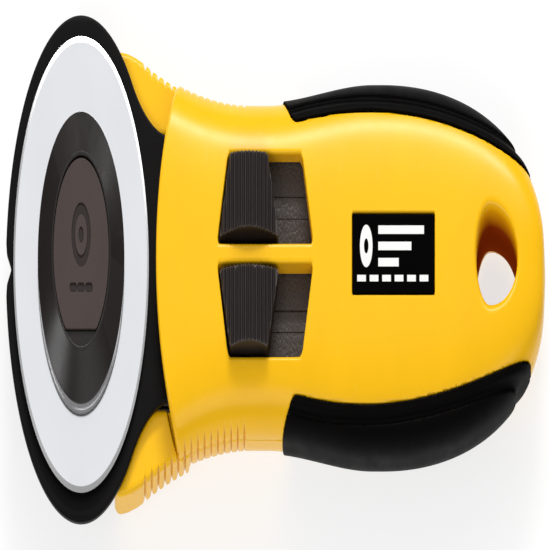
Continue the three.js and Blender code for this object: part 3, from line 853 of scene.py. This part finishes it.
def cover_field(x, y, z):
    """The arm's cover: a tray, with a round panel, a raised ring and a long recess underneath."""
    wall, thick = 1.6, 1.7
    low = COVER_Z[0]
    d = both(arm_plan(x, y, ARM_R, ARM_HALF, 32.6), slab(z, *COVER_Z), 0.9)
    inner = np.maximum(arm_plan(x, y, ARM_R - wall, 10.7, 40.0), low + thick - z)
    d = without(d, inner, 0.3)
    dish = both(np.hypot(x, y) - 9.6, z - low - 0.45, 0.3)
    raised = both(np.abs(np.hypot(x, y) - 5.2) - 0.8, z - low - 0.6, 0.25)
    ends = (13.5, 30.0)
    recess = both(trapezoid(x, y, ACROSS_MIDDLE, 5.2, ends, ends, 1.6), z - low - 0.4, 0.2)
    return without(without(d, without(dish, raised, 0.2), 0.2), recess, 0.2)


def screw_field(sx, sy, top):
    """A pan-head screw with a cross recess, its head down in the bottom shell's sink."""
    head_r, head_low, head_high = 2.6, 0.9, 2.3
    shank_r, shank_low, thread, thread_start = 1.25, 2.0, 0.06, 3.0
    arm, slit, recess_top = 1.5, 0.28, 1.5

    def field(x, y, z):
        r = np.hypot(x - sx, y - sy)
        head = both(r - head_r, slab(z, head_low, head_high), 0.45)
        turns = thread * np.cos(z * 9.0) * (z > thread_start)
        shank = np.maximum(r - shank_r + turns, slab(z, shank_low, top))
        cross = np.minimum(np.maximum(np.abs(x - sx) - arm, np.abs(y - sy) - slit),
                           np.maximum(np.abs(x - sx) - slit, np.abs(y - sy) - arm))
        recess = both(cross, z - recess_top - 0.3 * (arm - r), 0.1)
        return without(either(head, shank, 0.15), recess, 0.1)
    return field


def make_arm():
    skin = net(arm_field, ticks(-14, 0.5, 51), ticks(-14, 0.5, 14), ticks(7.2, 0.25, 10.5))
    netted("blade_arm", skin, BLACK)
    skin = net(cover_field, ticks(-14, 0.35, 33.4), ticks(-14, 0.35, 14), ticks(3.2, 0.22, 7.9))
    netted("arm_cover", skin, COVER_BLACK)
    screws = (("arm_screw_left", ARM_SCREW_X, ARM_SCREW_Y, 9.6),
              ("arm_screw_right", ARM_SCREW_X, -ARM_SCREW_Y, 9.6),
              ("shell_screw_front", SHELL_SCREW_X[0], 0.0, 13.6),
              ("shell_screw_rear", SHELL_SCREW_X[1], 0.0, 13.6))
    for node, sx, sy, top in screws:
        xs, ys = (ticks(c - 2.9, 0.1, c + 2.9) for c in (sx, sy))
        skin = net(screw_field(sx, sy, top), xs, ys, ticks(0.6, 0.1, 2.6, 0.17, top + 0.4))
        netted(node, skin, STEEL)
    bush = turned([(3.1, 7.15, 0.1), (6, 7.15, 0.15), (6, 7.55, 0.1), (4.65, 7.55, 0), (4.65, 12.15, 0),
                   (7.5, 12.15, 0.1), (7.5, 12.55, 0.15), (3.1, 12.55, 0.1)])
    sharp_edged("axle_bush", bush, STEEL)
    washer = turned([(4, 12.6, 0.08), (7.5, 12.6, 0.08), (7.5, 12.85, 0.08), (4, 12.85, 0.08)])
    sharp_edged("spacer_washer", washer, NYLON)


# ---- slider bed, label and springs
def make_bed():
    """The leather-grained bed, with a slot for each post that runs out at its back edge."""
    front, back, half, start = 43.6, 79.0, 11.6, POST_X[0] - 0.5
    corners = [(front, -half), (back, -half)]
    for side in (-1, 1):
        a, b = side * LANE_Y - SLOT_HALF, side * LANE_Y + SLOT_HALF
        corners += [(back, a), (start, a), (start, b), (back, b)]
    corners += [(back, half), (front, half)]
    bed = plate(softened([(x, y, 0.3) for x, y in corners]), BED_Z, 0.02)
    sharp_edged("slider_bed", bed, BED)


def make_label():
    """The black name plate carries generic print: a round blade on a dashed cutting line, and bars."""
    outline = softened([(x, y, 0.4) for x, y in rectangle(LABEL_X, LABEL_Y)])
    sharp_edged("label_plate", plate(outline, LABEL_Z, 0.08), LABEL)
    left = LABEL_X[0]
    marks = [(circle(left + 4.6, 0.75, 2.1), [circle(left + 4.6, 0.75, 0.75, 24, -1)])]
    for k in range(6):
        start = left + 1.6 + 4.15 * k
        marks.append((rectangle((start, start + 2.9), (-2.75, -2.1)), []))
    for k in range(3):
        start, width, middle = left + 8.6, 15.2 - 4.2 * k, 2.35 - 1.6 * k
        marks.append((rectangle((start, start + width), (middle - 0.42, middle + 0.42)), []))
    printed = (LABEL_Z[1] - 0.01, LABEL_Z[1] + 0.03)
    points, faces = [], []
    for loop, holes in marks:
        p, f = plate(loop, printed, 0.01, holes, 1)
        faces += [[n + sum(map(len, points)) for n in face] for face in f]
        points.append(p)
    crisp(piece("label_print", np.concatenate(points), faces, PRINT, "label_plate", replaces=False))


def make_springs():
    """Two detent leaves under the slides, each arched at its crest, and the lock clip."""
    thick, half = 0.35, 1.3
    run = ((67, 0), (63.5, 0), (61, 0.2), (58.6, 0.62), (57.2, 1), (55.8, 0.62), (54.6, 0.35))
    springs = (("guard_detent_spring", LANE_Y, GUARD_Z[0] - 0.1),
               ("release_detent_spring", -LANE_Y, span("release_bar", Z)[0] - 0.1))
    for node, lane, crest in springs:
        foot = span(node, Z)[0]
        rise = crest - foot - thick
        leaf = curve_through([(x, foot + h * rise) for x, h in run], 4)
        loop = [(x, z) for x, z in leaf[::-1]] + [(x, z + thick) for x, z in leaf]
        points, faces = plate(loop, (-half, half), 0.06, (), 2)
        points = np.stack([points[:, 0], lane - points[:, 2], points[:, 1]], 1)
        sharp_edged(node, (points, faces), SPRING)
    route = ((19, 2.4), (17, 1.6), (12, 1.85), (4, 2.5), (0, 2.6), (-3.5, 2.6), (-5.6, 1.6))
    route = [*route, (-6.3, 0), *[(x, -y) for x, y in reversed(route)]]
    clip = wire(curve_through(route, 6), 6.55, 0.35)
    piece("lock_clip_fine", *clip, SPRING, "lock_clip")


# ---- guard and release
def strip_field(x, y, z):
    """The strip behind a post that keeps the bed's slot filled."""
    ends, height = (POST_X[0], STRIP_END_X), (GUARD_Z[1], BED_Z[1] - 0.01)
    return block(x, y, z, ends, (-STRIP_HALF, STRIP_HALF), height, 0.02)


def guard_front_notch():
    """The soft notch at the front of the guard disc, from its upper side to its lower one."""
    mouth, shoulder, depth = 2.6, 1.5, 1.9
    rim = -math.sqrt(GUARD_R ** 2 - mouth ** 2)
    corners = [(rim, mouth, 0), (-GUARD_R + 0.35, shoulder, 1.0), (-GUARD_R + depth, 0.0, 0.5),
               (-GUARD_R + 0.35, -shoulder, 1.0), (rim, -mouth, 0)]
    return [tuple(p) for p in softened(corners, 8)[1:-1]]


def guard_neck():
    """The guard's neck and the tongue that runs back from it under the guard button."""
    start, back, half = 32.0, 38.0, NECK_HALF
    tongue_x = span("guard_plate", X)[1]
    low, high = LANE_Y - 1.9, LANE_Y + 1.9
    corners = [(start, -half, 0), (back, -half, 0.8), (back, low, 0.5), (tongue_x, low, 0.8),
               (tongue_x, high, 0.8), (back, high, 0.5), (back, half, 0.8), (start, half, 0)]
    return [tuple(p) for p in softened(corners)[1:-1]]


def guard_slot():
    """The long hole that the axle stands in, clockwise, as long as the guard's travel."""
    r, turns = 5, (math.pi / 2, -math.pi / 2, -1.5 * math.pi)
    front = [(r * math.cos(a), r * math.sin(a)) for a in np.linspace(*turns[:2], 25)]
    return front + [(r * math.cos(a) - TRAVEL, r * math.sin(a)) for a in np.linspace(*turns[1:], 25)]


def post_field(x, y, z):
    """The guard's post and strip on their foot, which stands on the guard's tongue."""
    low = GUARD_Z[1]
    foot = block(x, y, z, (51.8, 59.8), (LANE_Y - 1.8, LANE_Y + 1.8), (low, low + 0.1), 0.02)
    post = block(x, y, z, POST_X, (LANE_Y - POST_HALF, LANE_Y + POST_HALF), (low, POST_TOP), 0.15)
    return np.minimum(np.minimum(foot, post), strip_field(x, y - LANE_Y, z))


def make_guard():
    upper = guard_outline()
    line = upper + guard_front_notch() + [(x, -y) for x, y in reversed(upper)] + guard_neck()
    guard = plate(line, GUARD_Z, 0.35, [guard_slot()], 4)
    sharp_edged("guard_plate", guard, BLACK)
    skin = net(post_field, ticks(51, 0.2, 79), ticks(3.2, 0.15, 8.0), ticks(11.8, 0.07, 12.2, 0.2, 15))
    netted("guard_post", skin, BED)


def button_field(side):
    """An arched slide button: sharp ridges across it and walls that lean in towards the top."""
    low, high = span("guard_button", Z)
    half_length, fall, ridge = 9.9, 1.8, 0.62
    lean_start, lean_height = 15.5, 3.5
    pocket_x, pocket_y, pocket_z = (52.5, 59.1), (LANE_Y - 1.3, LANE_Y + 1.3), (11, 14.9)

    def field(x, y, z):
        out = side * y
        plan = trapezoid(x, out, 1.6, 9.6, (46.0, 65.8), (49.5, 62.0), 0.6)
        near, reach = (1.6, half_length) if side > 0 else (-9.6, 6.2)
        arch = 0.45 * (1 - ((x - BUTTON_X) / reach) ** 2) + 0.12
        lean = arch * np.clip((z - lean_start) / lean_height, 0, 1)
        plan = np.maximum(plan, (near + lean - y) * 0.98)
        wave = np.abs(np.sin(math.pi * (x - RIDGE_START) / RIDGE_PITCH))
        crown = high - fall * ((x - BUTTON_X) / half_length) ** 2 - ridge * wave ** 0.7
        d = both(plan, (z - crown) * 0.68, 0.1)
        d = np.maximum(d, low - z)
        return np.maximum(d, -block(x, out, z, pocket_x, pocket_y, pocket_z, 0.1))
    return field


def release_field(x, y, z):
    """The release bar: its wedge nose, the bar to the button's lane, and the post and strip on it."""
    low, high = span("release_bar", Z)[0], 7.2
    wedge_half = np.where(x < 9, 0.9 + 0.22 * (x - 7.4), 1.25 - 0.31 * (x - 9))
    nose = np.maximum(slab(x, 7.4, 10.6), np.abs(y) - wedge_half)
    rod = np.maximum(slab(x, 10.2, 26), np.abs(y) - 0.75)
    bar = both(both(25 - x, x - 59.6, 0.5), np.abs(y) - 2.4, 0.5)
    arm = both(both(52 - x, x - 59.6, 0.5), both(-LANE_Y - 1.8 - y, y, 0.5), 0.5)
    plan = np.minimum(np.minimum(nose, rod), np.minimum(bar, arm))
    d = both(plan, slab(z, low, high), 0.15)
    cover = block(x, y, z, (50.6, STRIP_END_X), (-LANE_Y - 1.9, -LANE_Y + 1.9), (11.0, 11.9), 0.12)
    post = block(x, y, z, POST_X, (-LANE_Y - POST_HALF, -LANE_Y + POST_HALF), (low, POST_TOP), 0.15)
    return np.minimum(np.minimum(d, cover), np.minimum(strip_field(x, y + LANE_Y, z), post))


def make_buttons():
    for side, node in ((1, "guard_button"), (-1, "release_button")):
        near, far = sorted((side * 1.4, side * 9.9))
        skin = net(button_field(side), ticks(45.6, 0.1, 66.2), ticks(near, 0.22, far),
                   ticks(12.8, 0.35, 16.4, 0.15, 19.6))
        netted(node, skin, BUTTON)


def make_release_bar():
    """A steel bar below, with the plastic of the slides on its post and strip above 9 mm."""
    skin = net(release_field, ticks(7, 0.25, 79), ticks(-7.9, 0.25, 2.9), ticks(5.5, 0.25, 15))
    bar = netted("release_bar", skin, STEEL)
    two_tone(bar, BED, lambda x, y, z: z > 9)


# ---- blade and hub
def make_blade():
    low, high = BLADE_Z
    middle = (low + high) / 2
    bore, face_edge, half_edge = 4, BLADE_R - BEVEL, 0.02
    profile = [(bore, low, 0.03), (face_edge, low, 0), (BLADE_R, middle - half_edge, 0),
               (BLADE_R, middle + half_edge, 0), (face_edge, high, 0), (bore, high, 0.03)]
    blade = sharp_edged("blade", turned(profile, 256), BLADE, angle=3)
    two_tone(blade, EDGE_STEEL, lambda x, y, z: np.hypot(x, y) > face_edge)


def badge_mark(x, y):
    """Plan distance to the plain symbol sunk into the hub badge: a ring, its middle and three bars."""
    r = np.hypot(x, y - 1.6)
    d = np.minimum(np.abs(r - 2.6) - 0.55, r - 0.8)
    for across in (-2.6, 0, 2.6):
        d = np.minimum(d, np.hypot(np.maximum(np.abs(x - across) - 0.75, 0), y + 3.6) - 0.45)
    return d


def badge_field(x, y, z):
    """The badge: a disc with one flat side and the symbol sunk into its top."""
    low, high = span("hub_badge", Z)
    flat_y, sunk = -7.7, 0.22
    d = both(np.hypot(x, y) - span("hub_badge", X)[1], flat_y - y, 0.1)
    d = both(d, slab(z, low, high), 0.12)
    return without(d, both(badge_mark(x, y), high - sunk - z, 0.05), 0.06)


def make_badge():
    skin = net(badge_field, ticks(-9.5, 0.13, 9.5), ticks(-8.1, 0.13, 9.5), ticks(17.05, 0.1, 17.7))
    badge = netted("hub_badge", skin, BADGE)
    sunk_z = span("hub_badge", Z)[1] - 0.06
    two_tone(badge, MARK, lambda x, y, z: (z < sunk_z) & (badge_mark(x, y) < 0.1))


def make_wave_washer():
    """A spring ring with three waves."""
    inner, outer, low, thick, wave, steps = 4.4, 8.4, 13.6, 0.25, 0.18, 144
    points, faces = [], []
    for i in range(steps):
        a = i / steps * 2 * math.pi
        z = low + wave * math.cos(3 * a)
        points += [(r * math.cos(a), r * math.sin(a), z + up)
                   for r, up in ((inner, 0), (outer, 0), (outer, thick), (inner, thick))]
        here, there = i * 4, (i + 1) % steps * 4
        faces += [(here + k, there + k, there + (k + 1) % 4, here + (k + 1) % 4) for k in range(4)]
    sharp_edged("wave_washer", (points, faces), SPRING)


def make_hub():
    stud = turned([(0, 5.5, 0), (2.6, 5.5, 0.15), (3, 5.9, 0.15), (3, 6.15, 0), (2.1, 6.15, 0),
                   (2.1, 6.95, 0), (3, 6.95, 0.1), (3, 12.65, 0), (3.9, 12.65, 0.1), (3.9, 14.2, 0),
                   (6, 14.2, 0.1), (6, 15, 0.1), (3, 15, 0), (3, 16.4, 0.2), (0, 16.4, 0)])
    sharp_edged("hub_stud", stud, STEEL)
    ring = turned([(9, 13.25, 0.1), (14.3, 13.25, 0.25), (14.3, 15.05, 0.2), (9, 15.05, 0.1)], 192)
    sharp_edged("hub_ring", ring, CHROME)
    top = CAP_Z[1]
    cap = turned([(3.1, 15.1, 0.1), (14.4, 15.1, 0.12), (14.4, 15.5, 0.2), (10.1, top - 0.15, 0.2),
                  (9.8, top, 0.1), (9.4, top, 0.1), (9.4, 17.1, 0.1), (0, 17.1, 0), (0, 16.5, 0),
                  (3.1, 16.5, 0.1)], 192)
    sharp_edged("hub_cap", cap, CAP, angle=50)


make_handle()
make_arm()
make_bed()
make_label()
make_springs()
make_guard()
make_buttons()
make_release_bar()
make_blade()
make_hub()
make_badge()
make_wave_washer()


# ---- light, floor and camera
def soft_light(name, place, target_x, size, energy):
    """A white lamp of size (width, height) metres, aimed at a point on the handle's centre line."""
    data = bpy.data.lights.new(name, "AREA")
    data.shape = "RECTANGLE"
    data.size, data.size_y = size
    data.energy = energy
    lamp = bpy.data.objects.new(name, data)
    bpy.context.scene.collection.objects.link(lamp)
    lamp.location = place
    aim = Vector((target_x, 0, 0)) - Vector(place)
    lamp.rotation_euler = aim.to_track_quat("-Z", "Y").to_euler()


def make_lights():
    scene = bpy.context.scene
    for name in ("Cube", "Light", "Camera"):
        if name in bpy.data.objects:
            bpy.data.objects.remove(bpy.data.objects[name])
    scene.world = bpy.data.worlds.new("studio")
    scene.world.use_nodes = True
    sky = scene.world.node_tree.nodes["Background"].inputs
    sky["Color"].default_value = (1, 1, 1, 1)
    sky["Strength"].default_value = 0.3
    scene.view_settings.view_transform = "Standard"
    soft_light("overhead", (-0.05, 0.2, 0.68), -0.05, (0.45, 0.4), 0.35)
    soft_light("far_side", (0.05, 0.46, 0.4), 0.03, (0.4, 0.05), 2.3)
    soft_light("far_soft", (0.08, 0.42, 0.54), 0.03, (0.7, 0.25), 0.8)
    soft_light("near_left", (-0.42, -0.25, 0.55), -0.06, (0.25, 0.25), 1.1)
    soft_light("near_soft", (0.12, -0.5, 0.48), 0.03, (0.6, 0.3), 1.2)


def make_floor():
    """A pale floor just under the object, bright enough to look white."""
    reach, gap, glow = 20.0, 0.0002, 0.72
    mesh = bpy.data.meshes.new("floor")
    corners = rectangle((-reach, reach), (-reach, reach))
    mesh.from_pydata([(x, y, 0) for x, y in corners], [], [(0, 1, 2, 3)])
    floor = bpy.data.objects.new("floor", mesh)
    bpy.context.scene.collection.objects.link(floor)
    floor.location.z = -gap
    paper = surface("pale_floor", (0.3, 0.3, 0.3), 0.8, vary=0.005, grain=(3, 0.01), specular=0.1)
    shader = paper.node_tree.nodes["Principled BSDF"].inputs
    shader["Emission Color"].default_value = (1, 1, 1, 1)
    shader["Emission Strength"].default_value = glow
    mesh.materials.append(paper)


def make_camera():
    """The photograph's view: parallel, from 73.5 degrees above, and squeezed along the handle.

    The picture has 0.284 of its true width. A stretched parent leans the camera's upright
    axis towards its line of sight, which makes the picture 1 / 0.284 times as tall instead.
    """
    elevation, squeeze = math.radians(73.5), 0.2843
    middle_x, below_middle, distance, picture_width = 64.47, 1.03, 0.5, 0.18285
    up = Vector((0, math.sin(elevation), math.cos(elevation)))
    back = Vector((0, -math.cos(elevation), math.sin(elevation)))
    upright = squeeze * up + math.sqrt(1 - squeeze ** 2) * back
    between = (upright + back).normalized()
    half = between.angle(back)
    right = Vector((1, 0, 0))
    rig = bpy.data.objects.new("view_rig", None)
    rig.rotation_mode = "QUATERNION"
    basis = Matrix((right, between.cross(right), between)).transposed()
    rig.rotation_quaternion = basis.to_quaternion()
    rig.scale = (1, math.sqrt(2) * math.sin(half), math.sqrt(2) * math.cos(half))
    centre = Vector((AXLE_X + middle_x * MM, 0, BLADE_Z[1] * MM)) - below_middle * MM * up
    rig.location = centre + distance * back
    data = bpy.data.cameras.new("camera")
    data.type = "ORTHO"
    data.ortho_scale = picture_width
    data.clip_start, data.clip_end = 0.01, 60.0
    camera = bpy.data.objects.new("camera", data)
    camera.rotation_euler = (math.radians(45), 0, 0)
    camera.parent = rig
    for made in (rig, camera):
        bpy.context.scene.collection.objects.link(made)
    bpy.context.scene.camera = camera


make_lights()
make_floor()
make_camera()
